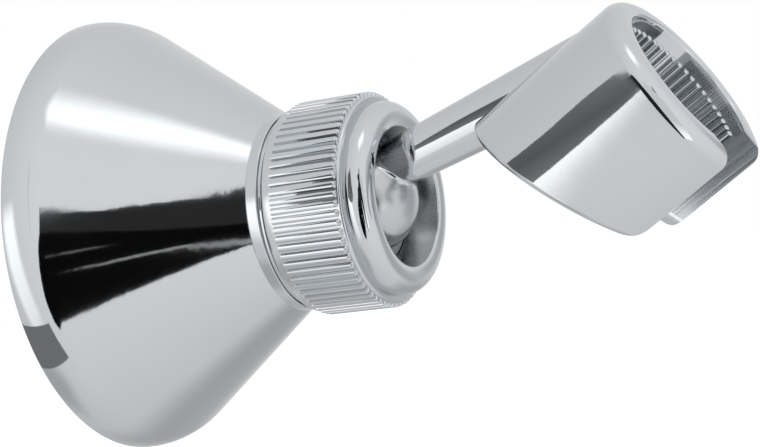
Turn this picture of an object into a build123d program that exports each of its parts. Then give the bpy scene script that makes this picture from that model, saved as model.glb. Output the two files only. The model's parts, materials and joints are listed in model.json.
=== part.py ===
from build123d import *
import math
import os

# Hand shower holder: a wall cone with a threaded neck, a knurled clamp nut, a seat ring and a split
# grip ring that hold a ball, and one moulding of ball, arm and ribbed cradle for the handset's cone.
# Millimetres and degrees. The wall plane is Y = 0, the holder reaches out along -Y, +Z is up, and
# the holder is symmetric about X = 0. Stations are distances from the wall along the nut's axis.

# Wall cone
base_radius = 35.0
base_lip = 0.4
base_edge_radius = 9.3
cone_half_angle = 35.6
cone_top_radius = 15.2
shell_wall = 2.5
collar_radius = 15.7
collar_length = 1.9
neck_radius = 14.0
neck_length = 8.4
neck_chamfer = 0.6
neck_bore_radius = 10.5
floor_thickness = 3.0
floor_depth = 9.0
screw_hole_radius = 2.75
screw_tube_wall = 3.0

# Clamp nut
nut_gap = 1.0
nut_radius = 16.2
nut_back_land = 1.6
nut_front_land = 0.5
nut_edge_radius = 0.6
knurl_count = 72
knurl_height = 0.6
knurl_length = 11.3
knurl_crest_share = 0.55
knurl_root_share = 0.2
bead_radius = 2.7
bead_ring_radius = 12.4
bead_step = 1.0
mouth_radius = 10.9
thread_clearance = 0.08

# Ball and the rings that hold it
ball_radius = 8.2
ball_ahead_of_neck = 2.2
ball_clearance = 0.15
seat_hole_radius = 5.2
seat_clearance = 0.05
grip_gap = 0.3
grip_radius = 12.6
grip_land = 0.7
grip_ahead_of_ball = 2.2
grip_front_radius = 9.5
grip_slit = 1.6
grip_clearance = 0.15

# Holder arm
arm_tilt = 17.4
arm_offset = 3.05
arm_root_radius = 3.64
arm_end_radius = 5.0
arm_end_inset = 8.0
arm_root_fillet = 0.8

# Cradle
cradle_angle = 13.4
cradle_reach = 54.9
cradle_drop = 5.96
cradle_radius = 16.0
rim_bore_radius = 12.3
foot_bore_radius = 10.7
cradle_length = 23.5
cradle_foot_slope = 19.7
rim_outer_fillet = 2.4
rim_inner_fillet = 0.4
slot_width = 16.4
slot_foot_fillet = 2.6
slot_rim_fillet = 0.5
rib_pitch = 6.5
rib_height = 0.5
rib_start = 2.3
rib_crest_share = 0.3
rib_root_share = 0.35


def point(radius, station):
    """A point of a turned profile, from its radius and its distance from the wall."""
    return (radius, -station)


def turned(edges):
    """The solid of a closed profile turned about the nut's axis."""
    return revolve(make_face(edges), Axis.Y)


def toothed_outline(root_radius, tooth_height, count, crest_share, root_share):
    """A closed outline with evenly spaced teeth: height below zero points the teeth inwards."""
    pitch = 2 * math.pi / count
    flank = pitch * (1 - crest_share - root_share) / 2
    corners = []
    for tooth in range(count):
        start = tooth * pitch
        steps = [
            (root_radius, start),
            (root_radius, start + pitch * root_share),
            (root_radius + tooth_height, start + pitch * root_share + flank),
            (root_radius + tooth_height, start + pitch * (root_share + crest_share) + flank),
        ]
        corners += [(radius * math.cos(angle), radius * math.sin(angle)) for radius, angle in steps]
    return Polyline(corners, close=True)


# Stations along the nut's axis
half_angle = math.radians(cone_half_angle)
edge_centre = base_radius - base_edge_radius
cone_top = base_lip + (
    base_edge_radius - (cone_top_radius - edge_centre) * math.cos(half_angle)
) / math.sin(half_angle)
collar_end = cone_top + collar_length
neck_end = collar_end + neck_length
neck_floor = neck_end - floor_depth
floor_under = neck_floor - floor_thickness
ball_station = neck_end + ball_ahead_of_neck
socket_radius = ball_radius + ball_clearance
nut_back = collar_end + nut_gap
knurl_back = nut_back + nut_back_land
knurl_front = knurl_back + knurl_length
nut_front = knurl_front + nut_front_land


def edge_point(radius, angle):
    """A point on the rounding of the base, at an angle from the base's own plane."""
    return point(edge_centre + radius * math.cos(angle), base_lip + radius * math.sin(angle))


def make_wall_cone():
    """Hollow cone with a collar, a threaded neck, a floor and a tube for the wall screw."""
    inner_edge = base_edge_radius - shell_wall
    inner_radius = base_radius - shell_wall
    tube_radius = screw_hole_radius + screw_tube_wall
    under_radius = edge_centre + (
        inner_edge - (floor_under - base_lip) * math.sin(half_angle)
    ) / math.cos(half_angle)
    outside = Polyline(
        edge_point(base_edge_radius, half_angle),
        point(cone_top_radius, cone_top),
        point(collar_radius, cone_top),
        point(collar_radius, collar_end),
        point(neck_radius, collar_end),
        point(neck_radius, neck_end - neck_chamfer),
        point(neck_radius - neck_chamfer, neck_end),
        point(neck_bore_radius, neck_end),
        point(neck_bore_radius, neck_floor),
        point(screw_hole_radius, neck_floor),
        point(screw_hole_radius, 0),
        point(tube_radius, 0),
        point(tube_radius, floor_under),
        point(under_radius, floor_under),
        edge_point(inner_edge, half_angle),
    )
    inside_rounding = ThreePointArc(
        edge_point(inner_edge, half_angle),
        edge_point(inner_edge, half_angle / 2),
        edge_point(inner_edge, 0),
    )
    foot = Polyline(
        edge_point(inner_edge, 0),
        point(inner_radius, 0),
        point(base_radius, 0),
        edge_point(base_edge_radius, 0),
    )
    outside_rounding = ThreePointArc(
        edge_point(base_edge_radius, 0),
        edge_point(base_edge_radius, half_angle / 2),
        edge_point(base_edge_radius, half_angle),
    )
    return turned(outside.edges() + inside_rounding.edges() + foot.edges() + outside_rounding.edges())


# Grip ring and the nut's matching cone
grip_back = neck_end + grip_gap
grip_front = ball_station + grip_ahead_of_ball
grip_slope = math.atan2(grip_radius - grip_front_radius, grip_front - grip_back - grip_land)


def make_clamp_nut():
    """Knurled nut: thread bore, cone that closes the grip ring, flared mouth and rounded bead."""
    bead_station = nut_front + bead_step
    lip = bead_station + math.sqrt(bead_radius**2 - (bead_ring_radius - mouth_radius) ** 2)
    groove = bead_ring_radius + math.sqrt(bead_radius**2 - bead_step**2)
    thread_radius = neck_radius + thread_clearance
    chamber_radius = grip_radius + grip_clearance
    cone_shift = grip_clearance / math.cos(grip_slope)
    throat_radius = grip_front_radius - grip_clearance
    cone_start = grip_back + grip_land + (cone_shift - grip_clearance) / math.tan(grip_slope)
    throat = cone_start + (chamber_radius - throat_radius) / math.tan(grip_slope)
    outside = Polyline(
        point(groove, nut_front),
        point(nut_radius - nut_edge_radius, nut_front),
        point(nut_radius, nut_front - nut_edge_radius),
        point(nut_radius, nut_back + nut_edge_radius),
        point(nut_radius - nut_edge_radius, nut_back),
        point(thread_radius, nut_back),
        point(thread_radius, grip_back),
        point(chamber_radius, grip_back),
        point(chamber_radius, cone_start),
        point(throat_radius, throat),
        point(mouth_radius, lip),
    )
    bead = ThreePointArc(
        point(mouth_radius, lip),
        point(bead_ring_radius, bead_station + bead_radius),
        point(groove, nut_front),
    )
    body = turned(outside.edges() + bead.edges())
    knurl_outline = toothed_outline(nut_radius, knurl_height, knurl_count, knurl_crest_share, knurl_root_share)
    core = Circle(thread_radius + (nut_radius - thread_radius) / 2)
    knurl = extrude(make_face(knurl_outline.edges()) - core, knurl_length)
    knurl_place = Plane(origin=(0, -knurl_back, 0), x_dir=(1, 0, 0), z_dir=(0, -1, 0))
    return body + knurl_place * knurl


def make_seat_ring():
    """Ring in the neck's bore with a ball-shaped seat, open in the middle for the screw's head."""
    outer_radius = neck_bore_radius - seat_clearance
    hole_station = ball_station - math.sqrt(socket_radius**2 - seat_hole_radius**2)
    front_radius = math.sqrt(socket_radius**2 - ball_ahead_of_neck**2)
    middle = (math.asin(seat_hole_radius / socket_radius) + math.asin(front_radius / socket_radius)) / 2
    sides = Polyline(
        point(front_radius, neck_end),
        point(outer_radius, neck_end),
        point(outer_radius, neck_floor),
        point(seat_hole_radius, neck_floor),
        point(seat_hole_radius, hole_station),
    )
    seat = ThreePointArc(
        point(seat_hole_radius, hole_station),
        point(socket_radius * math.sin(middle), ball_station - socket_radius * math.cos(middle)),
        point(front_radius, neck_end),
    )
    return turned(sides.edges() + seat.edges())


def make_grip_ring():
    """Split ring round the ball's middle, closed by the nut's cone."""
    back_radius = math.sqrt(socket_radius**2 - (ball_station - grip_back) ** 2)
    front_radius = math.sqrt(socket_radius**2 - grip_ahead_of_ball**2)
    sides = Polyline(
        point(back_radius, grip_back),
        point(grip_radius, grip_back),
        point(grip_radius, grip_back + grip_land),
        point(grip_front_radius, grip_front),
        point(front_radius, grip_front),
    )
    socket = ThreePointArc(
        point(front_radius, grip_front),
        point(socket_radius, ball_station),
        point(back_radius, grip_back),
    )
    slit_place = Pos(0, -(grip_back + grip_front) / 2, -grip_radius / 2)
    slit = slit_place * Box(grip_slit, grip_front - grip_back + 2 * grip_gap, grip_radius)
    return turned(sides.edges() + socket.edges()) - slit


# Cradle, about +Z with its rim at Z = 0, its slot towards -Y and its foot cut on a slope
arm_length = cradle_reach - arm_end_inset
cradle_long_side = cradle_length + cradle_radius * math.tan(math.radians(cradle_foot_slope))
bore_taper = (rim_bore_radius - foot_bore_radius) / cradle_long_side
rib_count = round(360 / rib_pitch)


def make_corner(radius):
    """Bar along Y that rounds the edge X = 0, Z = 0 of a solid lying at X > 0, Z > 0."""
    corner = Rectangle(radius, radius, align=(Align.MIN, Align.MIN)) - Pos(radius, radius) * Circle(radius)
    return extrude(Plane.XZ * corner, 2 * cradle_radius, both=True)


def bore_radius(depth):
    """Radius of the cradle's tapered bore at a depth below its rim."""
    return rim_bore_radius - bore_taper * depth


def ribbed_section(depth):
    """Section of the ribbed bore at a depth below the rim."""
    outline = toothed_outline(bore_radius(depth), -rib_height, rib_count, rib_crest_share, rib_root_share)
    return Pos(0, 0, -depth) * make_face(outline.edges())


def make_bore(depth):
    """Space inside the cradle: a plain band with a rounded edge at the rim, then the ribbed taper."""
    shrink = rim_inner_fillet * math.sqrt(0.5)
    sides = Polyline(
        (bore_radius(rim_inner_fillet), -rim_inner_fillet),
        (bore_radius(rib_start), -rib_start),
        (0, -rib_start),
        (0, 0),
        (rim_bore_radius + rim_inner_fillet, 0),
    )
    rounding = ThreePointArc(
        (rim_bore_radius + rim_inner_fillet, 0),
        (rim_bore_radius + rim_inner_fillet - shrink, shrink - rim_inner_fillet),
        (bore_radius(rim_inner_fillet), -rim_inner_fillet),
    )
    band = revolve(Plane.XZ * make_face(sides.edges() + rounding.edges()), Axis.Z)
    ribbed = loft([ribbed_section(rib_start), ribbed_section(depth)], ruled=True)
    return band, ribbed


def make_holder_arm():
    """Ball, tapered arm set off the ball's centre, and ribbed C-shaped cradle, moulded in one piece."""
    deep = 2 * cradle_long_side
    wall = Pos(0, 0, -deep / 2) * Cylinder(cradle_radius, deep)
    wall = fillet(wall.edges().group_by(Axis.Z)[-1], rim_outer_fillet)
    foot_place = Pos(0, 0, -cradle_length) * Rot(-cradle_foot_slope, 0, 0)
    foot = foot_place * Pos(0, 0, -deep) * Box(2 * deep, 2 * deep, 2 * deep)
    slot = Pos(0, -cradle_radius, -deep / 2) * Box(slot_width, 2 * cradle_radius, deep)
    slot_side = slot_width / 2
    foot_corner = foot_place * Pos(slot_side, -2 * cradle_radius, 0) * make_corner(slot_foot_fillet)
    rim_corner = Pos(slot_side, -2 * cradle_radius, 0) * mirror(make_corner(slot_rim_fillet), Plane.XY)
    corners = [foot_corner, rim_corner, mirror(foot_corner, Plane.YZ), mirror(rim_corner, Plane.YZ)]
    bore = make_bore(deep)

    turn = math.radians(cradle_angle)
    cradle_place = Plane(
        origin=(0, -cradle_reach, -cradle_drop),
        x_dir=(1, 0, 0),
        z_dir=(0, -math.cos(turn), math.sin(turn)),
    )
    arm_profile = Polyline(
        (0, 0),
        (arm_root_radius, 0),
        (arm_end_radius, -arm_length),
        (0, -arm_length),
        close=True,
    )
    arm = Pos(0, 0, arm_offset) * turned(arm_profile.edges())
    body = arm + Sphere(ball_radius)
    root = body.edges().filter_by(lambda edge: abs(edge.center().Y) < 2 * ball_radius)
    root = root.filter_by(GeomType.LINE, reverse=True).group_by(Axis.Y)[0]
    body = fillet(root, arm_root_fillet)
    body = body + cradle_place * (wall - foot)
    for cutter in [slot, *bore, *corners]:
        body = body - cradle_place * cutter
    return body


os.makedirs("parts", exist_ok=True)
holder_place = Pos(0, -ball_station, 0) * Rot(-arm_tilt, 0, 0)
nodes = {
    "wall_cone": make_wall_cone(),
    "clamp_nut": make_clamp_nut(),
    "seat_ring": make_seat_ring(),
    "grip_ring": make_grip_ring(),
    "holder_arm": holder_place * make_holder_arm(),
}
for name, solid in nodes.items():
    export_step(solid, f"parts/{name}.step")
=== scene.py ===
# %% [markdown]
# # A chromed hand shower holder
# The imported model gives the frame: which pieces there are, where they sit and how they move.
# This notebook dresses that frame. The turned and ribbed chrome pieces are built again as dense,
# softly rounded meshes, because polished metal shows every facet, and the two hidden rings keep
# the solids they have. The pieces and the camera are measured in millimetres, turned into metres
# when they are made. The studio around them is measured in metres, as Blender counts.

# %% Load the frame
import json
import math

import bpy
import numpy as np
from mathutils import Matrix, Vector

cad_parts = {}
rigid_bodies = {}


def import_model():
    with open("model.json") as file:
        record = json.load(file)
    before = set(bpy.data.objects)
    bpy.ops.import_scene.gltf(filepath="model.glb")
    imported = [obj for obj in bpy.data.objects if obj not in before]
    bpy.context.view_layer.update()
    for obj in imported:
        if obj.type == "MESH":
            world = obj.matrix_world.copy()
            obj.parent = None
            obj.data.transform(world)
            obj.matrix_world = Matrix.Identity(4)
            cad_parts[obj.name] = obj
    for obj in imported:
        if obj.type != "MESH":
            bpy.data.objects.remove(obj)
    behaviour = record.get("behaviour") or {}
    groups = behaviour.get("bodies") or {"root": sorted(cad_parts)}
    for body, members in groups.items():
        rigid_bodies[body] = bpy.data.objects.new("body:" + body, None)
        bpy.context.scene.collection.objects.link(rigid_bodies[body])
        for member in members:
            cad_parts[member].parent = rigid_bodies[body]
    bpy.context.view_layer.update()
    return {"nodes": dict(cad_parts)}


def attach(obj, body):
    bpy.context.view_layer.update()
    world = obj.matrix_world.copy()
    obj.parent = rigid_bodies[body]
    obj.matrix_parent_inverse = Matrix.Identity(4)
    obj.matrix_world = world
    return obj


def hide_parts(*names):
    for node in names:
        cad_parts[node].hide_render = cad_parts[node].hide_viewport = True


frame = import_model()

# %% [markdown]
# ## Loops with soft corners
# Most of the holder is turned about one axis. A lathe needs a closed loop of radius and station,
# the distance from the wall. A real edge is never quite sharp: a Bevel modifier could round all
# edges alike, but here each corner of the loop carries its own rounding, so a moulded edge can be
# soft beside a crisp step.

# %% Round the corners of a loop
MILLIMETRE = 0.001
FULL_TURN = 2 * math.pi
QUARTER_TURN = FULL_TURN / 4
ROUNDING_STEPS = 5


def unit(vector):
    """A vector of length 1 that points the same way."""
    return vector / np.linalg.norm(vector)


def rounded_corner(before, corner, after, rounding):
    """Points of the arc that rounds one corner of a loop."""
    back = unit(np.subtract(before, corner))
    ahead = unit(np.subtract(after, corner))
    half = math.acos(np.clip(back @ ahead, -1, 1)) / 2
    centre = corner + unit(back + ahead) * rounding / math.sin(half)
    first = corner + back * rounding / math.tan(half) - centre
    last = corner + ahead * rounding / math.tan(half) - centre
    sweep = math.pi - 2 * half
    shares = np.linspace(0, 1, ROUNDING_STEPS + 1)[:, None]
    spokes = np.sin((1 - shares) * sweep) * first + np.sin(shares * sweep) * last
    return centre + spokes / math.sin(sweep)


def rounded_loop(corners):
    """A closed loop from (radius, station, rounding) corners. A rounding of 0 keeps the point."""
    points = []
    for index, (radius, station, rounding) in enumerate(corners):
        corner = np.array([radius, station])
        if rounding == 0:
            points.append(corner[None, :])
            continue
        before = corners[index - 1][:2]
        after = corners[(index + 1) % len(corners)][:2]
        points.append(rounded_corner(before, corner, after, rounding))
    return np.concatenate(points)


def arc_points(centre, radius, first_angle, last_angle, count):
    """Points of an arc in the (radius, station) plane, with no rounding of their own."""
    angles = np.linspace(first_angle, last_angle, count)
    return [(centre[0] + radius * math.cos(a), centre[1] + radius * math.sin(a), 0) for a in angles]


print("a rounded corner takes", ROUNDING_STEPS + 1, "points")

# %% [markdown]
# ## Grids of points
# A skin that is turned, ribbed or threaded is a grid, with rows along its loop and columns around
# its axis. A Screw modifier would turn a loop too, but it cannot raise single points. Plain arrays
# can, and the faces of every grid follow the same rule, so one helper makes all the meshes.

# %% Make a mesh from a grid of points
def even_turns(count):
    """Angles of evenly spaced columns around an axis."""
    return np.arange(count) * FULL_TURN / count


def grid_faces(rows, columns, closed_rows):
    """Quads of a grid that closes on itself along its columns, and along its rows if asked."""
    row_steps = np.arange(rows if closed_rows else rows - 1)
    row, column = np.meshgrid(row_steps, np.arange(columns), indexing="ij")
    next_row = (row + 1) % rows
    next_column = (column + 1) % columns
    corners = [row * columns + column, row * columns + next_column]
    corners += [next_row * columns + next_column, next_row * columns + column]
    return np.stack(corners, axis=-1).reshape(-1, 4)


def signed_volume(points, quads):
    """Six times the volume inside the quads, below 0 where they face inwards."""
    a, b, c, d = (points[quads[:, k]] for k in range(4))
    return float(np.sum(np.cross(b - a, c - a) * a) + np.sum(np.cross(c - a, d - a) * a))


def grid_piece(name, points, closed_rows, place=None):
    """A closed object from points[row, column] in millimetres. Open rows get a cap at each end."""
    rows, columns = points.shape[:2]
    flat = points.reshape(-1, 3)
    quads = grid_faces(rows, columns, closed_rows)
    faces = quads.tolist()
    if not closed_rows:
        faces.append(list(range(columns - 1, -1, -1)))
        faces.append(list(range((rows - 1) * columns, rows * columns)))
    if signed_volume(flat - flat.mean(axis=0), quads) < 0:
        faces = [face[::-1] for face in faces]
    mesh = bpy.data.meshes.new(name)
    mesh.from_pydata((flat * MILLIMETRE).tolist(), [], faces)
    if place is not None:
        mesh.transform(place)
    mesh.update()
    piece = bpy.data.objects.new(name, mesh)
    bpy.context.scene.collection.objects.link(piece)
    return piece


print("a band of 2 rows and 8 columns has", len(grid_faces(2, 8, closed_rows=False)), "faces")

# %% [markdown]
# ## Turning and shading
# Turning sets the loop's points at every angle around the nut's axis. Smooth shading alone would
# smear the light over the lands and steps of a lathe part. So real creases stay sharp, and a
# Weighted Normal modifier lets the normals follow the larger faces.

# %% Turn a loop and shade the piece
CREASE_ANGLE = math.radians(40)


def turned_piece(name, loop, angles, lift):
    """Turns a closed loop about the nut's axis. lift(angles, radii, stations) is added to the radii."""
    radii = np.repeat(loop[:, :1], len(angles), axis=1)
    stations = np.repeat(loop[:, 1:], len(angles), axis=1)
    turns = np.repeat(angles[None, :], len(loop), axis=0)
    radii = radii + lift(turns, radii, stations)
    points = np.stack([radii * np.cos(turns), -stations, radii * np.sin(turns)], axis=-1)
    return grid_piece(name, points, closed_rows=True)


def smooth_shaded(piece):
    """Smooth shading that keeps real creases, with normals that follow the larger faces."""
    piece.data.shade_smooth()
    piece.data.set_sharp_from_angle(angle=CREASE_ANGLE)
    normals = piece.modifiers.new("face weighted normals", "WEIGHTED_NORMAL")
    normals.keep_sharp = True
    return piece


print("edges over", round(math.degrees(CREASE_ANGLE)), "degrees stay sharp")

# %% [markdown]
# ## Screw thread
# The neck carries an outside thread and the nut an inside one. A thread is a groove that climbs
# one pitch per turn. Blender could cut it with a swept boolean, but on a grid it is only a change
# of radius that depends on angle and station, and it fades out at both ends by itself.

# %% Thread on a grid
THREAD_PITCH = 1.5
THREAD_DEPTH = 0.55
THREAD_RUN_OUT = 0.9
RUN_OUT_STEEPNESS = 1.5
ROWS_PER_PITCH = 6
GROOVE_HALF_SHARE = 0.3125
GROOVE_STEEPNESS = 4
SAME_RADIUS = 1e-6


def thread_groove(turns, stations, start, end):
    """Depth of the groove from 0 to 1, fading out at both ends of the thread."""
    phase = (stations / THREAD_PITCH - turns / FULL_TURN) % 1
    groove = np.clip(GROOVE_STEEPNESS * (GROOVE_HALF_SHARE - np.abs(phase - 0.5)), 0, 1)
    run_in = np.clip((stations - start) / THREAD_RUN_OUT, 0, 1)
    run_out = np.clip((end - stations) / THREAD_RUN_OUT, 0, 1)
    return groove * np.minimum(run_in * run_out * RUN_OUT_STEEPNESS, 1)


def thread_rows(radius, start, end):
    """Plain points along a threaded stretch, close enough together to carry the groove."""
    count = round((end - start) / THREAD_PITCH * ROWS_PER_PITCH)
    return [(radius, station, 0) for station in np.linspace(start, end, count + 1)[1:-1]]


print("thread:", THREAD_PITCH, "mm pitch and", THREAD_DEPTH, "mm deep")

# %% [markdown]
# ## Straight ribs
# The nut has ribs outside and the cradle's bore has ribs inside. Each is a low, rounded bar with a
# round nose. An Array of separate bars would leave a seam at every foot, so the ribs are again a
# change of radius, and one formula serves both: a rounded crown across, drawn in towards the nose.

# %% Ribs on a grid
NOSE_POINTS = 8

nose_shares = 1 - np.cos(np.linspace(0, QUARTER_TURN, NOSE_POINTS))


def rib_turns(count, columns, centre):
    """Angles of evenly spaced columns, as many on each rib."""
    return (np.arange(count * columns) / columns + centre) * FULL_TURN / count


def rib_crown(turns, along, count, centre, half_share, power):
    """Height of the ribs from 0 to 1. Along is 0 on a rib's length and 1 at the tip of its nose."""
    share = (turns * count / FULL_TURN - centre + 0.5) % 1 - 0.5
    across = np.abs(share) / half_share
    reach = np.clip(across**2 + along**2, 0, 1) ** 0.5
    return (1 - reach**power) ** (1 / power)


print("rows over a rib's nose, from its tip:", nose_shares.round(2).tolist())

# %% [markdown]
# ## Wall cone
# The cone is one hollow moulding: a base edge with a large rounding, a straight flank, a collar of
# two thin rings, and the threaded neck that the nut hides. A tube inside takes the wall screw.
# All of it is round, so one loop turned once gives the outside and the hollow together.

# %% Sizes of the wall cone
BASE_RADIUS = 35.0
BASE_LIP = 0.4
BASE_EDGE_RADIUS = 9.3
CONE_HALF_ANGLE = math.radians(35.6)
CONE_TOP_RADIUS = 15.2
SHELL_WALL = 2.5
COLLAR_RADIUS = 15.7
COLLAR_LENGTH = 1.9
COLLAR_RING_RADIUS = 15.2
COLLAR_RING_LENGTH = 0.45
NECK_RADIUS = 14.0
NECK_LENGTH = 8.4
NECK_BORE_RADIUS = 10.5
FLOOR_THICKNESS = 3.0
FLOOR_DEPTH = 9.0
SCREW_HOLE_RADIUS = 2.75
SCREW_TUBE_WALL = 3.0

edge_centre = (BASE_RADIUS - BASE_EDGE_RADIUS, BASE_LIP)
cone_top = BASE_LIP + (
    BASE_EDGE_RADIUS - (CONE_TOP_RADIUS - edge_centre[0]) * math.cos(CONE_HALF_ANGLE)
) / math.sin(CONE_HALF_ANGLE)
collar_end = cone_top + COLLAR_LENGTH
ring_end = collar_end + COLLAR_RING_LENGTH
neck_end = collar_end + NECK_LENGTH
neck_floor = neck_end - FLOOR_DEPTH
floor_under = neck_floor - FLOOR_THICKNESS
tube_radius = SCREW_HOLE_RADIUS + SCREW_TUBE_WALL
inner_edge = BASE_EDGE_RADIUS - SHELL_WALL
under_radius = edge_centre[0] + (
    inner_edge - (floor_under - BASE_LIP) * math.sin(CONE_HALF_ANGLE)
) / math.cos(CONE_HALF_ANGLE)
print("cone's top at", round(cone_top, 2), "mm from the wall, neck's end at", round(neck_end, 2), "mm")

# %% Turn the wall cone
EDGE_STEPS = 14
SHARP_ROUNDING = 0.12
FINE_ROUNDING = 0.2
SOFT_ROUNDING = 0.4
INSIDE_ROUNDING = 0.8
CONE_COLUMNS = 288

cone_loop = rounded_loop(
    arc_points(edge_centre, BASE_EDGE_RADIUS, 0, CONE_HALF_ANGLE, EDGE_STEPS)
    + [
        (CONE_TOP_RADIUS, cone_top, SHARP_ROUNDING),
        (COLLAR_RADIUS, cone_top, SHARP_ROUNDING),
        (COLLAR_RADIUS, collar_end, FINE_ROUNDING),
        (COLLAR_RING_RADIUS, collar_end, SHARP_ROUNDING),
        (COLLAR_RING_RADIUS, ring_end, SHARP_ROUNDING),
        (NECK_RADIUS, ring_end, 0),
    ]
    + thread_rows(NECK_RADIUS, ring_end, neck_end)
    + [
        (NECK_RADIUS, neck_end, SOFT_ROUNDING),
        (NECK_BORE_RADIUS, neck_end, FINE_ROUNDING),
        (NECK_BORE_RADIUS, neck_floor, FINE_ROUNDING),
        (SCREW_HOLE_RADIUS, neck_floor, FINE_ROUNDING),
        (SCREW_HOLE_RADIUS, 0, FINE_ROUNDING),
        (tube_radius, 0, FINE_ROUNDING),
        (tube_radius, floor_under, INSIDE_ROUNDING),
        (under_radius, floor_under, INSIDE_ROUNDING),
    ]
    + arc_points(edge_centre, inner_edge, CONE_HALF_ANGLE, 0, EDGE_STEPS)
    + [(BASE_RADIUS - SHELL_WALL, 0, FINE_ROUNDING), (BASE_RADIUS, 0, FINE_ROUNDING)]
)


def neck_thread(turns, radii, stations):
    """The thread's groove, cut into the neck only."""
    on_neck = np.abs(radii - NECK_RADIUS) < SAME_RADIUS
    return -THREAD_DEPTH * thread_groove(turns, stations, ring_end, neck_end) * on_neck


wall_cone = smooth_shaded(
    turned_piece("wall_cone_chrome", cone_loop, even_turns(CONE_COLUMNS), neck_thread)
)
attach(wall_cone, "base")
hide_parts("wall_cone")
print("wall cone:", len(wall_cone.data.polygons), "faces in", len(cone_loop), "rows")

# %% [markdown]
# ## Clamp nut
# The nut screws onto the neck and closes the grip ring on the ball with a cone inside it. Seventy-two
# straight ribs run along its outside. Each starts square at the back land and ends in a rounded nose
# just short of the front land, like a capsule lying on the cylinder. The columns are evenly spaced,
# ten to a rib, so that the plain parts of the nut mirror without a ripple.

# %% Sizes of the clamp nut
NUT_GAP = 1.0
NUT_RADIUS = 16.2
NUT_BACK_LAND = 1.6
NUT_FRONT_LAND = 0.5
KNURL_COUNT = 72
KNURL_HEIGHT = 0.6
KNURL_LENGTH = 11.3
KNURL_CENTRE = 0.6
KNURL_HALF_SHARE = 0.4
BEAD_RADIUS = 2.7
BEAD_RING_RADIUS = 12.4
BEAD_STEP = 1.0
MOUTH_RADIUS = 10.9
THREAD_CLEARANCE = 0.08
NUT_THREAD_LEAD = 0.5
GRIP_GAP = 0.3
GRIP_RADIUS = 12.6
GRIP_LAND = 0.7
GRIP_AHEAD_OF_BALL = 2.2
GRIP_FRONT_RADIUS = 9.5
GRIP_CLEARANCE = 0.15
BALL_AHEAD_OF_NECK = 2.2

ball_station = neck_end + BALL_AHEAD_OF_NECK
grip_back = neck_end + GRIP_GAP
grip_front = ball_station + GRIP_AHEAD_OF_BALL
grip_slope = math.atan2(GRIP_RADIUS - GRIP_FRONT_RADIUS, grip_front - grip_back - GRIP_LAND)
nut_back = collar_end + NUT_GAP
nut_thread_start = nut_back + NUT_THREAD_LEAD
knurl_back = nut_back + NUT_BACK_LAND
knurl_front = knurl_back + KNURL_LENGTH
nut_front = knurl_front + NUT_FRONT_LAND
bead_station = nut_front + BEAD_STEP
thread_radius = NECK_RADIUS + THREAD_CLEARANCE
chamber_radius = GRIP_RADIUS + GRIP_CLEARANCE
throat_radius = GRIP_FRONT_RADIUS - GRIP_CLEARANCE
cone_start = grip_back + GRIP_LAND + (
    GRIP_CLEARANCE / math.cos(grip_slope) - GRIP_CLEARANCE
) / math.tan(grip_slope)
throat = cone_start + (chamber_radius - throat_radius) / math.tan(grip_slope)
bead_first = math.asin(-BEAD_STEP / BEAD_RADIUS)
bead_last = math.acos((MOUTH_RADIUS - BEAD_RING_RADIUS) / BEAD_RADIUS)
nose_length = KNURL_HALF_SHARE * FULL_TURN * NUT_RADIUS / KNURL_COUNT
print("nut from", round(nut_back, 2), "to", round(nut_front, 2), "mm from the wall")
print("ball at", round(ball_station, 2), "mm from the wall")

# %% Turn the clamp nut
KNURL_POWER = 3.0
KNURL_COLUMNS = 10
KNURL_ROWS = 4
KNURL_CUT = 0.12
CUT_SHARES = (0.7, 0.35, 0)
BEAD_POINTS = 26

rib_noses = knurl_front - nose_length * nose_shares
rib_lengths = np.linspace(knurl_front - nose_length, knurl_back + KNURL_CUT, KNURL_ROWS)[1:]
rib_backs = [knurl_back + KNURL_CUT * share for share in CUT_SHARES]
nut_loop = rounded_loop(
    [(NUT_RADIUS, nut_front, SOFT_ROUNDING)]
    + [(NUT_RADIUS, station, 0) for station in (*rib_noses, *rib_lengths, *rib_backs)]
    + [
        (NUT_RADIUS, nut_back, SOFT_ROUNDING),
        (thread_radius, nut_back, SOFT_ROUNDING),
    ]
    + thread_rows(thread_radius, nut_thread_start, grip_back)
    + [
        (thread_radius, grip_back, SHARP_ROUNDING),
        (chamber_radius, grip_back, SHARP_ROUNDING),
        (chamber_radius, cone_start, SHARP_ROUNDING),
        (throat_radius, throat, SOFT_ROUNDING),
    ]
    + arc_points((BEAD_RING_RADIUS, bead_station), BEAD_RADIUS, bead_last, bead_first, BEAD_POINTS)
)


def nut_lift(turns, radii, stations):
    """Ribs raised on the outside of the nut, and the thread cut into its bore."""
    along = np.clip(stations - (knurl_front - nose_length), 0, None) / nose_length
    crown = rib_crown(turns, along, KNURL_COUNT, KNURL_CENTRE, KNURL_HALF_SHARE, KNURL_POWER)
    square_back = np.clip((stations - knurl_back) / KNURL_CUT, 0, 1)
    on_outside = np.abs(radii - NUT_RADIUS) < SAME_RADIUS
    on_knurl = on_outside & (stations >= knurl_back) & (stations <= knurl_front)
    on_thread = np.abs(radii - thread_radius) < SAME_RADIUS
    groove = thread_groove(turns, stations, nut_thread_start, grip_back) * on_thread
    return KNURL_HEIGHT * crown * square_back * on_knurl + THREAD_DEPTH * groove


nut_turns = rib_turns(KNURL_COUNT, KNURL_COLUMNS, KNURL_CENTRE)
clamp_nut = smooth_shaded(turned_piece("clamp_nut_chrome", nut_loop, nut_turns, nut_lift))
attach(clamp_nut, "nut")
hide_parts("clamp_nut")
print("clamp nut:", len(clamp_nut.data.polygons), "faces in", len(nut_loop), "rows")

# %% [markdown]
# ## Ball and arm
# Ball, arm and cradle are one moulding, and the arm leaves the ball off its centre. A sphere and a
# cylinder joined by a boolean would meet in a hard line. Here each column of one grid starts at the
# back of the ball, runs over the ball to the arm's root, turns through a small hollow fillet and
# follows the arm, so the skin has no cut in it.

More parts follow.
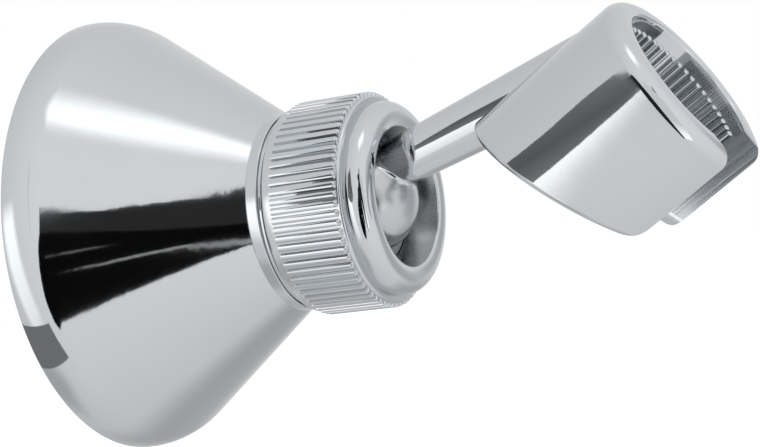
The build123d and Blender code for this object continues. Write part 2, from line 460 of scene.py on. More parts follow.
# %% Skins of the ball and the arm
BALL_RADIUS = 8.2
ARM_TILT = math.radians(17.4)
ARM_OFFSET = 3.05
ARM_ROOT_RADIUS = 3.64
ARM_END_RADIUS = 5.0
ARM_END_INSET = 8.0
CRADLE_REACH = 54.9
ROOT_TRIES = 12

arm_length = CRADLE_REACH - ARM_END_INSET


def arm_skin(turns, distance):
    """Points on the arm's skin at a distance from the ball's centre, measured along the arm."""
    radius = ARM_ROOT_RADIUS + (ARM_END_RADIUS - ARM_ROOT_RADIUS) * distance / arm_length
    up = ARM_OFFSET + radius * np.sin(turns)
    return np.stack([radius * np.cos(turns), -distance + 0 * turns, up], axis=-1)


def arm_root(turns):
    """Distance along the arm where its skin comes out of the ball, closed in on by a few tries."""
    distance = np.full_like(turns, BALL_RADIUS)
    for _ in range(ROOT_TRIES):
        skin = arm_skin(turns, distance)
        distance = np.sqrt(BALL_RADIUS**2 - skin[:, 0] ** 2 - skin[:, 2] ** 2)
    return distance


def along_ball(first, last, share):
    """Points part of the way along the ball from one set of places on it to another."""
    cosine = np.sum(first * last, axis=-1, keepdims=True) / BALL_RADIUS**2
    angle = np.arccos(np.clip(cosine, -1, 1))
    return (np.sin((1 - share) * angle) * first + np.sin(share * angle) * last) / np.sin(angle)


def bent(first, bend, last, share):
    """A place on the curve that leaves first towards the bend and arrives at last from it."""
    return (1 - share) ** 2 * first + 2 * share * (1 - share) * bend + share**2 * last


print("arm:", round(arm_length, 1), "mm from the ball's centre, offset by", ARM_OFFSET, "mm")

# %% Build the ball and the arm
ARM_FILLET_REACH = 0.6
ARM_COLUMNS = 160
BALL_ROWS = 48
FILLET_ROWS = 7
ARM_ROWS = 24
FIRST_BALL_SHARE = 0.01

arm_turns = even_turns(ARM_COLUMNS)
root_distance = arm_root(arm_turns)
root_points = arm_skin(arm_turns, root_distance)
back_pole = np.array([0.0, BALL_RADIUS, 0.0]) + 0 * root_points
last_ball_share = 1 - ARM_FILLET_REACH / (QUARTER_TURN * BALL_RADIUS)
ball_rows = [
    along_ball(back_pole, root_points, share)
    for share in np.linspace(FIRST_BALL_SHARE, last_ball_share, BALL_ROWS)
]
fillet_distance = root_distance + ARM_FILLET_REACH
fillet_end = arm_skin(arm_turns, fillet_distance)
fillet_rows = [
    bent(ball_rows[-1], root_points, fillet_end, share)
    for share in np.linspace(0, 1, FILLET_ROWS)[1:]
]
arm_rows = [
    arm_skin(arm_turns, fillet_distance + share * (arm_length - fillet_distance))
    for share in np.linspace(0, 1, ARM_ROWS)[1:]
]
ball_place = Matrix.Translation((0, -ball_station * MILLIMETRE, 0))
holder_place = ball_place @ Matrix.Rotation(-ARM_TILT, 4, "X")
arm_points = np.stack(ball_rows + fillet_rows + arm_rows)
holder = grid_piece("holder_chrome", arm_points, closed_rows=False, place=holder_place)
print("ball and arm:", len(holder.data.polygons), "faces")

# %% [markdown]
# ## Cradle
# The cradle is a thick C: a plain cylinder with a rounded rim and a slanting foot, opened by a
# tapered, ribbed bore and by a slot. Real tooling makes it with a cavity and cores, and the same
# way works here: a body is joined to the arm and two shaped plugs are cut away with booleans.
# The body comes first, as rows of radius and depth below the rim.

# %% Shape the cradle's body
CRADLE_ANGLE = math.radians(13.4)
CRADLE_DROP = 5.96
CRADLE_RADIUS = 16.0
CRADLE_LENGTH = 23.5
FOOT_SLOPE = math.tan(math.radians(19.7))
RIM_OUTER_ROUNDING = 2.4
FOOT_ROUNDING = 0.9
BODY_COLUMNS = 384
RIM_ROWS = 12
WALL_SHARES = (0.25, 0.5, 0.75)
FOOT_ROWS = 10

cradle_axes = Matrix((
    (1, 0, 0, 0),
    (0, math.sin(CRADLE_ANGLE), -math.cos(CRADLE_ANGLE), -CRADLE_REACH * MILLIMETRE),
    (0, math.cos(CRADLE_ANGLE), math.sin(CRADLE_ANGLE), -CRADLE_DROP * MILLIMETRE),
    (0, 0, 0, 1),
))
cradle_place = holder_place @ cradle_axes


def foot_depth(across):
    """Depth of the slanting foot below the rim, by the distance towards the arm."""
    return CRADLE_LENGTH + across * FOOT_SLOPE


def around_cradle(turns, rows):
    """Points around the cradle's axis from rows of (radius, depth below the rim)."""
    return np.stack([
        np.stack([radius * np.cos(turns), radius * np.sin(turns), -depth + 0 * turns], axis=-1)
        for radius, depth in rows
    ])


body_turns = even_turns(BODY_COLUMNS)
body_rows = []
for angle in np.linspace(QUARTER_TURN, 0, RIM_ROWS):
    radius = CRADLE_RADIUS - RIM_OUTER_ROUNDING * (1 - math.cos(angle))
    body_rows.append((radius, RIM_OUTER_ROUNDING * (1 - math.sin(angle))))
wall_length = foot_depth(CRADLE_RADIUS * np.sin(body_turns)) - FOOT_ROUNDING - RIM_OUTER_ROUNDING
for share in WALL_SHARES:
    body_rows.append((CRADLE_RADIUS, RIM_OUTER_ROUNDING + share * wall_length))
for angle in np.linspace(0, QUARTER_TURN, FOOT_ROWS):
    radius = CRADLE_RADIUS - FOOT_ROUNDING * (1 - math.cos(angle))
    lift = FOOT_ROUNDING * (1 - math.sin(angle))
    body_rows.append((radius, foot_depth(radius * np.sin(body_turns)) - lift))
body_points = around_cradle(body_turns, body_rows)
cradle_body = grid_piece("cradle_body", body_points, closed_rows=False, place=cradle_place)
print("cradle's body:", len(cradle_body.data.polygons), "faces")

# %% [markdown]
# ## Ribbed bore
# The handset's cone sits in a bore that narrows downwards. A plain band lies under the rim, and
# fifty-five ribs grip the cone below it. Cutting the bore first and adding ribs later would mean
# fitting every rib to a taper. Instead the hollow itself is modelled, as a plug that has a groove
# wherever the cradle keeps a rib.

# %% Shape the ribbed plug that opens the bore
RIM_BORE_RADIUS = 12.3
FOOT_BORE_RADIUS = 10.7
RIM_INNER_ROUNDING = 0.4
FLARE_ROWS = 7
RIB_COUNT = 55
RIB_HEIGHT = 0.5
RIB_START = 2.3
RIB_CENTRE = 0.675
RIB_HALF_SHARE = 1 / 3
RIB_POWER = 2.4
RIB_COLUMNS = 12
PLAIN_BAND_DEPTH = 1.2
RIBBED_DEPTHS = (8.0, 16.0, 24.0)
PLUG_PAST = 1.0

long_side = CRADLE_LENGTH + CRADLE_RADIUS * FOOT_SLOPE
bore_taper = (RIM_BORE_RADIUS - FOOT_BORE_RADIUS) / long_side
rib_width = RIB_HALF_SHARE * FULL_TURN * RIM_BORE_RADIUS / RIB_COUNT
plug_turns = rib_turns(RIB_COUNT, RIB_COLUMNS, RIB_CENTRE)


def plug_radius(depth):
    """Radius of the bore: a plain band under the rim, then ribs with rounded noses."""
    along = max(RIB_START + rib_width - depth, 0) / rib_width
    crown = rib_crown(plug_turns, along, RIB_COUNT, RIB_CENTRE, RIB_HALF_SHARE, RIB_POWER)
    return RIM_BORE_RADIUS - bore_taper * depth - RIB_HEIGHT * crown


plug_rows = [(RIM_BORE_RADIUS + RIM_INNER_ROUNDING, -PLUG_PAST)]
for angle in np.linspace(QUARTER_TURN, 0, FLARE_ROWS):
    flare = RIM_INNER_ROUNDING * (1 - math.cos(angle))
    depth = RIM_INNER_ROUNDING * (1 - math.sin(angle))
    plug_rows.append((plug_radius(depth) + flare, depth))
nose_depths = RIB_START + rib_width * nose_shares
for depth in (PLAIN_BAND_DEPTH, *nose_depths, *RIBBED_DEPTHS, long_side + 2 * PLUG_PAST):
    plug_rows.append((plug_radius(depth), depth))
plug_points = around_cradle(plug_turns, plug_rows)
bore_plug = grid_piece("bore_plug", plug_points, closed_rows=False, place=cradle_place)
print("bore plug:", RIB_COUNT, "ribs,", round(rib_width * 2, 2), "mm wide at the rim")

# %% [markdown]
# ## Slot
# The hose passes through a slot in the front of the cradle. Its corners are softly rounded at the
# rim and more roundly at the slanting foot. A plain block would cut sharp corners, so the second
# plug has the slot's outline, once at the cradle's axis and once in front of the cradle.

# %% Shape the slot's plug
SLOT_HALF = 8.2
SLOT_FOOT_ROUNDING = 2.6
SLOT_RIM_ROUNDING = 0.5
SLOT_PAST = 6.0
CORNER_STEPS = 9


def slot_side(across):
    """The slot's right edge seen from the front, from above the rim to below the foot."""
    edge = [(SLOT_HALF + SLOT_RIM_ROUNDING, SLOT_PAST)]
    for angle in np.linspace(QUARTER_TURN, 0, CORNER_STEPS):
        edge.append((
            SLOT_HALF + SLOT_RIM_ROUNDING * (1 - math.cos(angle)),
            -SLOT_RIM_ROUNDING * (1 - math.sin(angle)),
        ))
    for angle in np.linspace(0, QUARTER_TURN, CORNER_STEPS):
        edge.append((
            SLOT_HALF + SLOT_FOOT_ROUNDING * (1 - math.cos(angle)),
            -foot_depth(across) + SLOT_FOOT_ROUNDING * (1 - math.sin(angle)),
        ))
    edge.append((SLOT_HALF + SLOT_FOOT_ROUNDING, -long_side - SLOT_PAST))
    return edge


slot_rows = []
for across in (-CRADLE_RADIUS - SLOT_PAST, 0.0):
    right_edge = slot_side(across)
    around = right_edge + [(-x, z) for x, z in reversed(right_edge)]
    slot_rows.append([(x, across, z) for x, z in around])
slot_plug = grid_piece("slot_plug", np.array(slot_rows), closed_rows=False, place=cradle_place)
print("slot plug:", 2 * SLOT_HALF, "mm wide")

# %% [markdown]
# ## One moulding
# The body is joined to the arm, then both plugs are taken away. The exact solver keeps every small
# rib whole, and each result is stored as a plain mesh, so nothing is left to be worked out again
# when the arm moves.

# %% Join the cradle and cut it open
def combine(piece, other, operation):
    """Applies one boolean to a piece and removes the other shape."""
    step = piece.modifiers.new(operation.lower(), "BOOLEAN")
    step.operation = operation
    step.solver = "EXACT"
    step.object = other
    evaluated = piece.evaluated_get(bpy.context.evaluated_depsgraph_get())
    mesh = bpy.data.meshes.new_from_object(evaluated)
    piece.modifiers.clear()
    piece.data = mesh
    bpy.data.objects.remove(other)


combine(holder, cradle_body, "UNION")
combine(holder, bore_plug, "DIFFERENCE")
combine(holder, slot_plug, "DIFFERENCE")
smooth_shaded(holder)
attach(holder, "arm")
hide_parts("holder_arm")
print("holder:", len(holder.data.polygons), "faces")

# %% [markdown]
# ## Finishes
# Real plating is never one even value. All finishes here follow the same plan: noise fixed to the
# piece moves the colour between two tones, and the roughness between two limits. A Bump node then
# bends the mirror image a little. Procedural noise needs no unwrapping and holds up close by.

# %% Helpers for the finishes
def new_material(name):
    """A material with its nodes, its links and its main shader."""
    material = bpy.data.materials.new(name)
    material.use_nodes = True
    nodes = material.node_tree.nodes
    links = material.node_tree.links
    return material, nodes, links, nodes["Principled BSDF"]


def object_noise(nodes, links, scale, detail):
    """Noise fixed to the piece itself, in metres."""
    coordinates = nodes.new("ShaderNodeTexCoord")
    noise = nodes.new("ShaderNodeTexNoise")
    noise.inputs["Scale"].default_value = scale
    noise.inputs["Detail"].default_value = detail
    links.new(coordinates.outputs["Object"], noise.inputs["Vector"])
    return noise.outputs["Fac"]


def spread(nodes, links, source, low, high):
    """Maps a 0 to 1 value to a range."""
    limits = nodes.new("ShaderNodeMapRange")
    limits.inputs["To Min"].default_value = low
    limits.inputs["To Max"].default_value = high
    links.new(source, limits.inputs["Value"])
    return limits.outputs["Result"]


def toned(nodes, links, shader, pattern, tones, roughness):
    """Colour between two tones and roughness between two limits, both led by one pattern."""
    ramp = nodes.new("ShaderNodeValToRGB")
    for element, tone in zip(ramp.color_ramp.elements, tones):
        element.color = (*tone, 1)
    links.new(pattern, ramp.inputs["Fac"])
    links.new(ramp.outputs["Color"], shader.inputs["Base Color"])
    links.new(spread(nodes, links, pattern, *roughness), shader.inputs["Roughness"])


def bumped(nodes, links, shader, heights):
    """Bumps in a row: each is (height pattern, depth in metres)."""
    normal = None
    for height, depth in heights:
        bump = nodes.new("ShaderNodeBump")
        bump.inputs["Distance"].default_value = depth
        links.new(height, bump.inputs["Height"])
        if normal is not None:
            links.new(normal, bump.inputs["Normal"])
        normal = bump.outputs["Normal"]
    links.new(normal, shader.inputs["Normal"])


print("materials before the finishes:", sorted(material.name for material in bpy.data.materials))

# %% [markdown]
# ## Bright chrome
# The outside is plated over a polished moulding and is almost a mirror. What makes it read as real
# is a faint ripple from the moulding under the plating, a finer orange peel, and a roughness that
# is not quite even. Two bumps in a row give the ripple and the peel their own depths.

# %% Bright chrome
CHROME_TONES = ((0.58, 0.605, 0.625), (0.615, 0.64, 0.66))
BRIGHT_ROUGHNESS = (0.03, 0.09)
TONE_SCALE = 60
TONE_DETAIL = 3
RIPPLE_SCALE = 160
RIPPLE_DEPTH = 0.00002
PEEL_SCALE = 1500
PEEL_DEPTH = 0.000002
RELIEF_DETAIL = 2


def bright_chrome_material():
    """Plating on the outside, over the ripple and the peel of the moulding."""
    material, nodes, links, shader = new_material("bright_chrome")
    shader.inputs["Metallic"].default_value = 1
    tone = object_noise(nodes, links, TONE_SCALE, TONE_DETAIL)
    toned(nodes, links, shader, tone, CHROME_TONES, BRIGHT_ROUGHNESS)
    ripple = object_noise(nodes, links, RIPPLE_SCALE, RELIEF_DETAIL)
    peel = object_noise(nodes, links, PEEL_SCALE, RELIEF_DETAIL)
    bumped(nodes, links, shader, [(ripple, RIPPLE_DEPTH), (peel, PEEL_DEPTH)])
    return material


bright_chrome = bright_chrome_material()
print("finish:", bright_chrome.name)

# %% [markdown]
# ## Cut chrome
# The two sides of the slot show fine lines along the cradle, as a cutter leaves them in the mould.
# Modelling each line would cost far too many faces. A Mapping node turns the noise to the cradle's
# axis and draws it out sixty times its width, which gives lines of uneven length.

# %% Cut chrome
SCRATCH_STRETCH = 60
SCRATCH_SCALE = 2500
SCRATCH_DETAIL = 3
SCRATCH_DEPTH = 0.00006
CUT_ROUGHNESS = (0.15, 0.4)


def cut_chrome_material():
    """Plating on the slot's sides, with lines that run along the cradle."""
    material, nodes, links, shader = new_material("cut_chrome")
    shader.inputs["Metallic"].default_value = 1
    coordinates = nodes.new("ShaderNodeTexCoord")
    mapping = nodes.new("ShaderNodeMapping")
    mapping.vector_type = "TEXTURE"
    mapping.inputs["Rotation"].default_value = (-(ARM_TILT + CRADLE_ANGLE), 0, 0)
    mapping.inputs["Scale"].default_value = (1, SCRATCH_STRETCH, 1)
    noise = nodes.new("ShaderNodeTexNoise")
    noise.inputs["Scale"].default_value = SCRATCH_SCALE
    noise.inputs["Detail"].default_value = SCRATCH_DETAIL
    links.new(coordinates.outputs["Object"], mapping.inputs["Vector"])
    links.new(mapping.outputs["Vector"], noise.inputs["Vector"])
    lines = noise.outputs["Fac"]
    toned(nodes, links, shader, lines, CHROME_TONES, CUT_ROUGHNESS)
    bumped(nodes, links, shader, [(lines, SCRATCH_DEPTH)])
    return material


cut_chrome = cut_chrome_material()
print("finish:", cut_chrome.name)

# %% [markdown]
# ## Duller chrome
# The nut's mouth gets dark tones that are painted shade, standing in for the shade that falls inside it,
# and the ball is rubbed satin by its rings. Both keep the metal shader and change only the grain, the
# tones and the roughness, so they still look like the same metal.

# %% Painted shade in the mouth, and worn chrome
def grained_material(name, scale, detail, tones, roughness, depth, metallic=0):
    """A finish whose colour, roughness and bump all follow one grain."""
    material, nodes, links, shader = new_material(name)
    shader.inputs["Metallic"].default_value = metallic
    grain = object_noise(nodes, links, scale, detail)
    toned(nodes, links, shader, grain, tones, roughness)
    bumped(nodes, links, shader, [(grain, depth)])
    return material


# Painted shade: these dark tones stand in for the shade that falls inside the nut's mouth.
mouth_shade_chrome = grained_material(
    "mouth_shade_chrome", scale=400, detail=4, depth=0.00002, metallic=1,
    tones=((0.24, 0.25, 0.26), (0.33, 0.34, 0.35)), roughness=(0.18, 0.34),
)
worn_chrome = grained_material(
    "worn_chrome", scale=700, detail=3, depth=0.00001, metallic=1,
    tones=((0.5, 0.52, 0.535), (0.57, 0.59, 0.605)), roughness=(0.16, 0.3),
)
print("finishes:", mouth_shade_chrome.name, worn_chrome.name)

# %% [markdown]
# ## Which face has which finish
# A mesh can carry several materials, and each face holds the number of its own. The slot's sides,
# the ball and the nut's mouth are found by where they lie, which is surer than picking faces by
# hand, since a boolean numbers its faces anew.

# %% Put the chrome on the pieces
FACE_TOLERANCE = 0.01 * MILLIMETRE
SIDEWAYS = 0.99
CUT_SLOT = 1
WORN_SLOT = 2
MOUTH_SHADE_SLOT = 1

ball_centre = holder_place.translation


def holder_finish(face):
    """Number of the finish on one face of the holder."""
    on_slot = abs(abs(face.center.x) - SLOT_HALF * MILLIMETRE) < FACE_TOLERANCE
    if on_slot and abs(face.normal.x) > SIDEWAYS:
        return CUT_SLOT
    on_ball = (face.center - ball_centre).length < BALL_RADIUS * MILLIMETRE + FACE_TOLERANCE
    return WORN_SLOT if on_ball else 0


for piece in (wall_cone, clamp_nut, holder):
    piece.data.materials.clear()
    piece.data.materials.append(bright_chrome)
holder.data.materials.append(cut_chrome)
holder.data.materials.append(worn_chrome)
clamp_nut.data.materials.append(mouth_shade_chrome)
for face in holder.data.polygons:
    face.material_index = holder_finish(face)
# Faces inside the nut's mouth take the painted shade.
for face in clamp_nut.data.polygons:
    in_mouth = math.hypot(face.center.x, face.center.z) < MOUTH_RADIUS * MILLIMETRE
    face.material_index = MOUTH_SHADE_SLOT if in_mouth else 0
for piece in (wall_cone, clamp_nut, holder):
    counts = np.bincount([face.material_index for face in piece.data.polygons])
    print(piece.name, "faces by finish:", dict(zip(piece.data.materials.keys(), counts.tolist())))

# %% [markdown]
# ## Hidden rings
# The grip ring is a satin nylon and the seat ring a dull rubber. Little of them shows, yet both get
# a fine grain, because a plain colour looks like a hole between polished parts. Their meshes come
# from the frame and stay as they are, since a material is all they need.

# %% Nylon and rubber
satin_nylon = grained_material(
    "satin_nylon", scale=2500, detail=4, depth=0.00001,
    tones=((0.36, 0.37, 0.38), (0.47, 0.48, 0.49)), roughness=(0.4, 0.6),
)
dull_rubber = grained_material(
    "dull_rubber", scale=1800, detail=4, depth=0.00002,
    tones=((0.035, 0.035, 0.037), (0.07, 0.07, 0.072)), roughness=(0.7, 0.9),
)
for node, material in (("grip_ring", satin_nylon), ("seat_ring", dull_rubber)):
    frame["nodes"][node].data.materials.clear()
    frame["nodes"][node].data.materials.append(material)
print("rings dressed:", satin_nylon.name, dull_rubber.name)

# %% [markdown]
# ## Camera
# The camera's place and lens come from fitting the cone's, the nut's and the cradle's outlines. A
# camera could be aimed with a Track To constraint, but then it stays level. Here its right-hand and
# forward directions are written down, squared up and put in its matrix, so its small tilt is kept.

# %% Camera
PHOTO_WIDTH = 760
FOCAL_PIXELS = 2004.0
SENSOR_WIDTH = 36.0
CAMERA_PLACE = (-278.8, -181.5, 3.2)
CAMERA_RIGHT = (0.432, -0.891, -0.142)
CAMERA_AHEAD = (0.898, 0.4386, -0.022)
NEAREST_SEEN = 0.01

scene = bpy.context.scene
camera_data = bpy.data.cameras.new("camera")
camera_data.sensor_width = SENSOR_WIDTH
camera_data.lens = FOCAL_PIXELS * SENSOR_WIDTH / PHOTO_WIDTH
camera_data.clip_start = NEAREST_SEEN
camera = bpy.data.objects.new("camera", camera_data)
ahead = Vector(CAMERA_AHEAD).normalized()
right = Vector(CAMERA_RIGHT)
right = (right - ahead * right.dot(ahead)).normalized()
camera_axes = Matrix((right, right.cross(ahead), -ahead)).transposed()
camera.matrix_world = Matrix.Translation(Vector(CAMERA_PLACE) * MILLIMETRE) @ camera_axes.to_4x4()
scene.collection.objects.link(camera)
scene.camera = camera
print("lens:", round(camera_data.lens, 1), "mm")

# %% [markdown]
# ## White room
# Polished metal is a picture of its room. Chromium returns about six tenths of the light that meets
# it, so a white room gives the pale grey of the holder. The room is the world's light: plain white
# to the camera, a slope from a dim to a bright side in mirrors, and a steady light on dull things.
# The Light Path node tells these rays apart.

# %% White room
ROOM_DIFFUSE = 0.75
ROOM_FAR_SIDE = 0.71
ROOM_NEAR_SIDE = 1.03
ROOM_BRIGHT_WAY = (-0.47, -0.84, 0.26)
MIRROR_BOUNCES = 12
WHITE = (1, 1, 1, 1)

scene.view_settings.view_transform = "Standard"
scene.cycles.glossy_bounces = MIRROR_BOUNCES
world = bpy.data.worlds.new("white_room")
scene.world = world
world.use_nodes = True


def joined(nodes, links, operation, first, second):
    """One arithmetic step on two sockets."""
    step = nodes.new("ShaderNodeMath")
    step.operation = operation
    links.new(first, step.inputs[0])
    links.new(second, step.inputs[1])
    return step.outputs["Value"]


def light_room(nodes, links):
    """White to the camera, a soft slope of light in mirrors, and a steady light on dull surfaces."""
    coordinates = nodes.new("ShaderNodeTexCoord")
    along = nodes.new("ShaderNodeVectorMath")
    along.operation = "DOT_PRODUCT"
    along.inputs[1].default_value = ROOM_BRIGHT_WAY
    links.new(coordinates.outputs["Generated"], along.inputs[0])
    slope = nodes.new("ShaderNodeMapRange")
    slope.inputs["From Min"].default_value = -1
    slope.inputs["To Min"].default_value = ROOM_FAR_SIDE
    slope.inputs["To Max"].default_value = ROOM_NEAR_SIDE
    links.new(along.outputs["Value"], slope.inputs["Value"])
    rays = nodes.new("ShaderNodeLightPath").outputs
    mirrored = joined(nodes, links, "MULTIPLY", rays["Is Glossy Ray"], slope.outputs["Result"])
    direct = joined(nodes, links, "MAXIMUM", rays["Is Camera Ray"], rays["Is Transmission Ray"])
    steady = spread(nodes, links, rays["Is Diffuse Ray"], 0, ROOM_DIFFUSE)
    seen = joined(nodes, links, "MAXIMUM", mirrored, direct)
    strength = joined(nodes, links, "MAXIMUM", seen, steady)
    links.new(strength, nodes["Background"].inputs["Strength"])
    nodes["Background"].inputs["Color"].default_value = WHITE


light_room(world.node_tree.nodes, world.node_tree.links)
print("room:", world.name, "slopes from", ROOM_FAR_SIDE, "to", ROOM_NEAR_SIDE, "in mirrors")

# %% [markdown]
# ## Pale floor
# The holder stays over a white sweep that takes a soft shadow. A plain white floor would render a
# little grey beside the white room, so it glows just enough, towards the camera only, to join it
# without an edge. Mirrors do not see it, because the room's own slope already gives their light.

# %% Pale floor
FLOOR_HEIGHT = -0.06
FLOOR_SIZE = 0.9
FLOOR_CORNERS = 288
FLOOR_COLOUR = (0.8, 0.8, 0.8, 1)
FLOOR_GLOW = 0.42


def floor_material():
    """A dull white that also glows a little to the camera."""
    material, nodes, links, shader = new_material("pale_floor")
    nodes.remove(shader)
    cover = nodes.new("ShaderNodeBsdfDiffuse")
    cover.inputs["Color"].default_value = FLOOR_COLOUR
    glow = nodes.new("ShaderNodeEmission")
    rays = nodes.new("ShaderNodeLightPath").outputs
    glow_strength = spread(nodes, links, rays["Is Camera Ray"], 0, FLOOR_GLOW)
    links.new(glow_strength, glow.inputs["Strength"])
    both = nodes.new("ShaderNodeAddShader")
    links.new(cover.outputs["BSDF"], both.inputs[0])
    links.new(glow.outputs["Emission"], both.inputs[1])
    links.new(both.outputs["Shader"], nodes["Material Output"].inputs["Surface"])
    return material


def flat_piece(name, corners, place=None):
    """One flat face through the given corners."""
    mesh = bpy.data.meshes.new(name)
    mesh.from_pydata(corners, [], [list(range(len(corners)))])
    piece = bpy.data.objects.new(name, mesh)
    if place is not None:
        piece.matrix_world = place
    scene.collection.objects.link(piece)
    return piece


floor_rim = [
    (FLOOR_SIZE * math.cos(turn), FLOOR_SIZE * math.sin(turn), FLOOR_HEIGHT)
    for turn in even_turns(FLOOR_CORNERS)
]
floor = flat_piece("floor", floor_rim)
floor.visible_glossy = False
floor.data.materials.append(floor_material())
print("floor at", FLOOR_HEIGHT, "m")

# %% [markdown]
# ## Cards and soft boxes
# Product photographers set black and white cards just outside the picture, and the metal mirrors
# them. The same works here: each card is one flat face that glows, seen by mirrors only. A Color
# Ramp over its height gives it a slope of light, and soft edges come from mixing in a transparent
# shader. Area lamps would mirror too, but only as plain bright boxes.

# %% Light of a card
EVEN_LIGHT = ((0, 1), (1, 1))
HARD_EDGES = (0, 0)
HALFWAY = 0.5


def edge_fade(nodes, links, place, edge, inside):
    """0 at a card's edge, rising smoothly to 1 at a place further in."""
    fall = nodes.new("ShaderNodeMapRange")
    fall.interpolation_type = "SMOOTHSTEP"
    fall.inputs["From Min"].default_value = edge
    fall.inputs["From Max"].default_value = inside
    links.new(place, fall.inputs["Value"])
    return fall.outputs["Result"]


def card_material(name, strength, stops, fades):
    """Light from a card: stops are (height share, share of the strength), fades soften the edges."""
    material, nodes, links, shader = new_material(name)
    nodes.remove(shader)
    coordinates = nodes.new("ShaderNodeTexCoord")
    split = nodes.new("ShaderNodeSeparateXYZ")
    links.new(coordinates.outputs["Generated"], split.inputs["Vector"])
    ramp = nodes.new("ShaderNodeValToRGB")
    while len(ramp.color_ramp.elements) < len(stops):
        ramp.color_ramp.elements.new(HALFWAY)
    for element, (height, share) in zip(ramp.color_ramp.elements, stops):
        element.position = height
        element.color = (share, share, share, 1)
    links.new(split.outputs["Y"], ramp.inputs["Fac"])
    glow = nodes.new("ShaderNodeEmission")
    glow.inputs["Strength"].default_value = strength
    links.new(ramp.outputs["Color"], glow.inputs["Color"])
    surface = glow.outputs["Emission"]
    for axis, fade in zip("XY", fades):
        if fade == 0:
            continue
        low = edge_fade(nodes, links, split.outputs[axis], 0, fade)
        high = edge_fade(nodes, links, split.outputs[axis], 1, 1 - fade)
        clear = nodes.new("ShaderNodeBsdfTransparent")
        mixed = nodes.new("ShaderNodeMixShader")
        links.new(joined(nodes, links, "MULTIPLY", low, high), mixed.inputs["Fac"])
        links.new(clear.outputs["BSDF"], mixed.inputs[1])
        links.new(surface, mixed.inputs[2])
        surface = mixed.outputs["Shader"]
    links.new(surface, nodes["Material Output"].inputs["Surface"])
    return material


print("a plain card has", len(EVEN_LIGHT), "stops of light and no soft edges")

# %% [markdown]
# ## Setting a card
# A card is placed like a lamp on a stand: so far round the holder, so far up, so far away, and
# turned to face a target. Its outline is drawn on its own plane, with straight edges between
# corners and smooth edges as curves with one bend.

# %% Place and outline of a card
CURVE_POINTS = 12
STAND_DISTANCE = 0.6


def facing(azimuth, elevation, distance=STAND_DISTANCE, target=(0, 0, 0), roll=0):
    """Place of a card that faces a target. Azimuth 0 is straight out from the wall, plus is right."""
    across = math.radians(azimuth)
    up = math.radians(elevation)
    level = math.cos(up)
    back = Vector((math.sin(across) * level, -math.cos(across) * level, math.sin(up)))
    turn = back.to_track_quat("Z", "Y").to_matrix().to_4x4()
    rolled = turn @ Matrix.Rotation(math.radians(roll), 4, "Z")
    return Matrix.Translation(Vector(target) + back * distance) @ rolled


def box_corners(width, height):
    """Corners of an upright box around a card's middle."""
    across = width / 2
    up = height / 2
    return [(-across, -up), (across, -up), (across, up), (-across, up)]


def curved_edge(first, bend, last):
    """Corners along a smooth edge that leaves first towards the bend and arrives at last from it."""
    ends = [np.array(corner) for corner in (first, bend, last)]
    return [tuple(bent(*ends, share).tolist()) for share in np.linspace(0, 1, CURVE_POINTS)]


def card(name, place, corners, strength, stops=EVEN_LIGHT, fades=HARD_EDGES):
    """A card with its corners in metres on its own plane. It shows in mirrors only."""
    piece = flat_piece(name, [(across, up, 0) for across, up in corners], place)
    piece.data.materials.append(card_material(name, strength, stops, fades))
    piece.visible_camera = False
    piece.visible_diffuse = False
    piece.visible_shadow = False
    return piece


print("a curved edge takes", CURVE_POINTS, "corners, and a stand is", STAND_DISTANCE, "m away")

# %% [markdown]
# ## Black band
# The cone's flank carries a black band with a grey upper end and two thin pale streaks in it. A
# cone squeezes what it mirrors, so the band is a large, bent card beside the camera. A black card
# and a dark grey one share an edge, and two narrow strips stand just before them.

# %% Cards of the black band
STRIP_DISTANCE = 0.59
BAND_SHOULDER = (0.01, 0.062)
BAND_TIP = (0.051, 0.066)
BAND_KNEE = (0.133, -0.039)
BAND_RIGHT = (0.21, -0.1)
BAND_LEFT = (-0.1, -0.23)
BAND_FOOT = (0.013, -0.478)

black_outline = (
    [BAND_TIP]
    + curved_edge(BAND_SHOULDER, (-0.08, -0.01), BAND_LEFT)
    + curved_edge(BAND_LEFT, (-0.086, -0.449), BAND_FOOT)[1:]
    + [(0.091, -0.407), (0.122, -0.347), (0.156, -0.279), (0.21, -0.2), BAND_RIGHT, BAND_KNEE]
)
shade_outline = [
    BAND_TIP, BAND_KNEE, BAND_RIGHT, (0.24, 0.42), (0.2, 0.4), (0.17, 0.325), (0.134, 0.221),
    (0.105, 0.186), (0.08, 0.158), (0.064, 0.16), (0.058, 0.2), (0.051, 0.165), (0.038, 0.118),
    BAND_SHOULDER,
]
long_streak = [
    (0.06, -0.134), (0.107, -0.14), (0.148, -0.245), (0.18, -0.275), (0.18, -0.235),
    (0.15, -0.205), (0.11, -0.122), (0.06, -0.128),
]
short_streak = [
    (0.046, -0.047), (0.056, -0.043), (0.068, -0.041), (0.066, -0.034), (0.055, -0.036), (0.047, -0.041),
]
band_place = facing(azimuth=-60, elevation=0)
strip_place = facing(azimuth=-60, elevation=0, distance=STRIP_DISTANCE)
band_cards = (
    card("black_card", band_place, black_outline, strength=0.004),
    card("shade_card", band_place, shade_outline, strength=0.03),
    card("pale_strip", strip_place, long_streak, strength=0.4),
    card("short_strip", strip_place, short_streak, strength=0.25),
)
print("black band:", *(piece.name for piece in band_cards))

# %% [markdown]
# ## Lines on the rims
# A thin dark line with a white strip behind it runs along the cradle's rim, and the base's rim has
# a small grey patch. Edges as small as these mirror a wide piece of the room, so only a card that
# stands close by stays narrow in them. The dark card and the pale one share a curved edge.

# %% Cards of the rims
BASE_SIDE = (-0.031, -0.003, -0.015)
RIM_SIDE = (-0.0158, -0.0965, 0.0075)
PATCH_DISTANCE = 0.012
RIM_DARK_DISTANCE = 0.035
RIM_PALE_DISTANCE = 0.0352

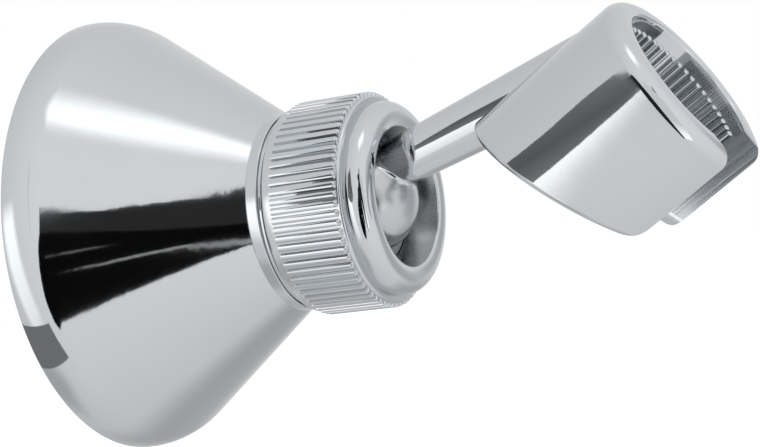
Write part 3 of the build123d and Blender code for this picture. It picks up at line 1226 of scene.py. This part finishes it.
outer_line = curved_edge((-0.0205, 0.019), (-0.0013, -0.0015), (0.018, -0.0505))
shared_line = curved_edge((0.0245, -0.0475), (0.0182, -0.0023), (0.003, 0.013))
dark_outline = outer_line + shared_line + [(-0.005, 0.02), (-0.014, 0.024)]
pale_outline = [(0.065, -0.055), (0.065, 0.03), (0.012, 0.03)] + shared_line[::-1]
patch_outline = [(-0.018, -0.0045), (0.0061, -0.0055), (0.0061, 0.0055), (-0.018, 0.0085)]
patch_place = facing(azimuth=-100, elevation=-47, distance=PATCH_DISTANCE, target=BASE_SIDE)
dark_place = facing(azimuth=-95, elevation=0, distance=RIM_DARK_DISTANCE, target=RIM_SIDE)
pale_place = facing(azimuth=-95, elevation=0, distance=RIM_PALE_DISTANCE, target=RIM_SIDE)
pale_stops = ((0, 1), (0.2, 0.95), (0.5, 0.54))
rim_cards = (
    card("rim_card", patch_place, patch_outline, strength=0.23),
    card("rim_dark_card", dark_place, dark_outline, strength=0.02),
    card("rim_pale_card", pale_place, pale_outline, strength=1.6, stops=pale_stops),
)
print("rims:", *(piece.name for piece in rim_cards))

# %% [markdown]
# ## Soft boxes and grey cards
# Two soft boxes, brighter than the room, give the white streaks, and grey cards shade the sides
# that face away from them. Their edges fade, as the cloth of a soft box does. One more grey card
# shades the cradle. It stands edge-on to the base, which then hardly mirrors it.

# %% Soft boxes and grey cards
GREY_CARD_PLACE = (-0.115, -0.028, 0.039)

grey_outline = (
    curved_edge((-0.055, -0.03), (0.0062, -0.0491), (0.046, -0.012))
    + curved_edge((0.046, -0.012), (0.0184, 0.0197), (-0.024, 0.032))[1:]
    + [(-0.033, 0.026), (-0.039, 0.013), (-0.05, 0.0055)]
)
side_cards = (
    card(
        "grey_card", facing(azimuth=-163.7, elevation=0, distance=0, target=GREY_CARD_PLACE),
        grey_outline, strength=0.25, stops=((0, 1), (0.5, 0.55), (1, 0.9)),
    ),
    card(
        "left_soft_box", facing(azimuth=-108, elevation=-10, roll=15),
        box_corners(width=0.34, height=0.84), strength=1.6,
        stops=((0, 0.7), (0.3, 0.82), (0.6, 0.97), (0.7, 1)), fades=(0.3, 0.2),
    ),
    card(
        "top_soft_box", facing(azimuth=-24, elevation=61),
        box_corners(width=0.3, height=0.28), strength=1.8, fades=(0.3, 0.5),
    ),
    card(
        "right_grey_card", facing(azimuth=95, elevation=-40),
        box_corners(width=1.1, height=0.8), strength=0.52, fades=(0.4, 0.4),
    ),
    card(
        "back_grey_card", facing(azimuth=-150, elevation=-58),
        box_corners(width=0.6, height=0.5), strength=0.55, fades=(0.4, 0.4),
    ),
    card(
        "side_grey_card", facing(azimuth=46, elevation=-5),
        box_corners(width=0.6, height=0.7), strength=0.58, fades=(0.35, 0.3),
    ),
)
print("sides:", *(piece.name for piece in side_cards))

# %% [markdown]
# ## Lamp
# The room and the cards light the metal. One wide lamp overhead is there for the dull floor, where
# it gives the holder a soft shadow. Mirrors do not see it, or it would show as one more white box.

# %% Overhead lamp
LAMP_POWER = 3.0
LAMP_SIZE = 0.5
LAMP_PLACE = (-0.1, -0.2, 0.8)

lamp_data = bpy.data.lights.new("overhead_lamp", "AREA")
lamp_data.energy = LAMP_POWER
lamp_data.size = LAMP_SIZE
lamp = bpy.data.objects.new("overhead_lamp", lamp_data)
lamp.location = LAMP_PLACE
lamp.visible_glossy = False
scene.collection.objects.link(lamp)
print("lamp:", lamp_data.energy, "W at", LAMP_PLACE[2], "m")
